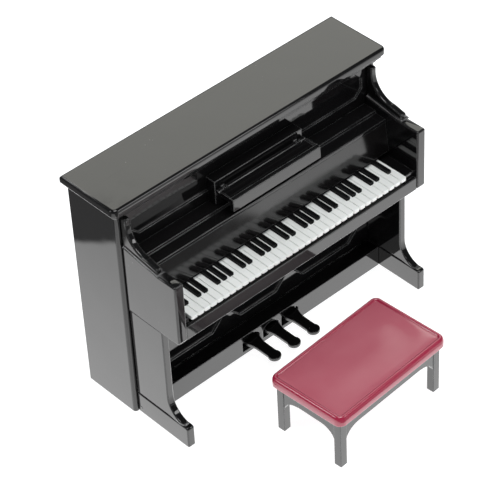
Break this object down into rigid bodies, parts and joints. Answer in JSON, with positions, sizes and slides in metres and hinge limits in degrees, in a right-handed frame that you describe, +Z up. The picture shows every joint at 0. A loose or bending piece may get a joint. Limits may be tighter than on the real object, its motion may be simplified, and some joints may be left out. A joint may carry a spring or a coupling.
{
  "type": "dolls house upright piano with bench",
  "caption": "Upright piano for a dolls' house in gloss black with a hinged top lid, folding music desk, hinged pedals and a bench with a crimson seat.",
  "frame": {"origin": "centre of the underside of the piano case's bottom board, on the surface the piano stands on", "axes": "+X to the player's right along the keyboard, -Y out of the front towards the bench, +Z up"},
  "size_m": [0.125, 0.0962, 0.0944],
  "materials": {
    "gloss_black": "gloss moulded black",
    "key_white": "gloss moulded white",
    "seat_red": "gloss moulded crimson",
    "pin_metal": "plain wire"
  },
  "bodies": {
    "case": {"left_side": "gloss_black", "right_side": "gloss_black", "back_panel": "gloss_black", "bottom_board": "gloss_black", "lower_panel": "gloss_black", "upper_panel": "gloss_black", "lid_pins": "pin_metal", "plinth": "gloss_black", "left_toe": "gloss_black", "right_toe": "gloss_black", "left_leg": "gloss_black", "right_leg": "gloss_black", "left_cheek": "gloss_black", "right_cheek": "gloss_black", "key_bed": "gloss_black", "key_slip": "gloss_black", "key_frame": "gloss_black", "white_keys": "key_white", "black_keys": "gloss_black", "left_key_block": "gloss_black", "right_key_block": "gloss_black", "fallboard": "gloss_black", "ledge": "gloss_black", "desk_rail": "gloss_black", "desk_pin": "pin_metal", "pedal_bracket": "gloss_black", "pedal_pin": "pin_metal"},
    "lid_body": {"lid": "gloss_black"},
    "desk_body": {"music_desk": "gloss_black"},
    "pedal_left_body": {"pedal_left": "gloss_black"},
    "pedal_centre_body": {"pedal_centre": "gloss_black"},
    "pedal_right_body": {"pedal_right": "gloss_black"},
    "bench": {"bench_frame": "gloss_black", "bench_seat": "seat_red"}
  },
  "joints": [
    {"name": "lid_open", "type": "hinge", "parent": "case", "child": "lid_body", "pos_m": [0, 0.011, 0.0869], "axis": [-1, 0, 0], "range_deg": [0, 94]},
    {"name": "desk_fold", "type": "hinge", "parent": "case", "child": "desk_body", "pos_m": [0, -0.0169, 0.0787], "axis": [-1, 0, 0], "range_deg": [0, 80]},
    {"name": "pedal_left_press", "type": "hinge", "parent": "case", "child": "pedal_left_body", "pos_m": [-0.0095, -0.0138, 0.0044], "axis": [1, 0, 0], "range_deg": [0, 7], "stiffness_Nm_per_rad": 0.0005, "springref_deg": -11.46},
    {"name": "pedal_centre_press", "type": "hinge", "parent": "case", "child": "pedal_centre_body", "pos_m": [0, -0.0138, 0.0044], "axis": [1, 0, 0], "range_deg": [0, 7], "stiffness_Nm_per_rad": 0.0005, "springref_deg": -11.46},
    {"name": "pedal_right_press", "type": "hinge", "parent": "case", "child": "pedal_right_body", "pos_m": [0.0095, -0.0138, 0.0044], "axis": [1, 0, 0], "range_deg": [0, 7], "stiffness_Nm_per_rad": 0.0005, "springref_deg": -11.46},
    {"name": "bench_slide", "type": "slide", "parent": "case", "child": "bench", "axis": [0, 1, 0], "range_m": [-0.04, 0.028]}
  ]
}
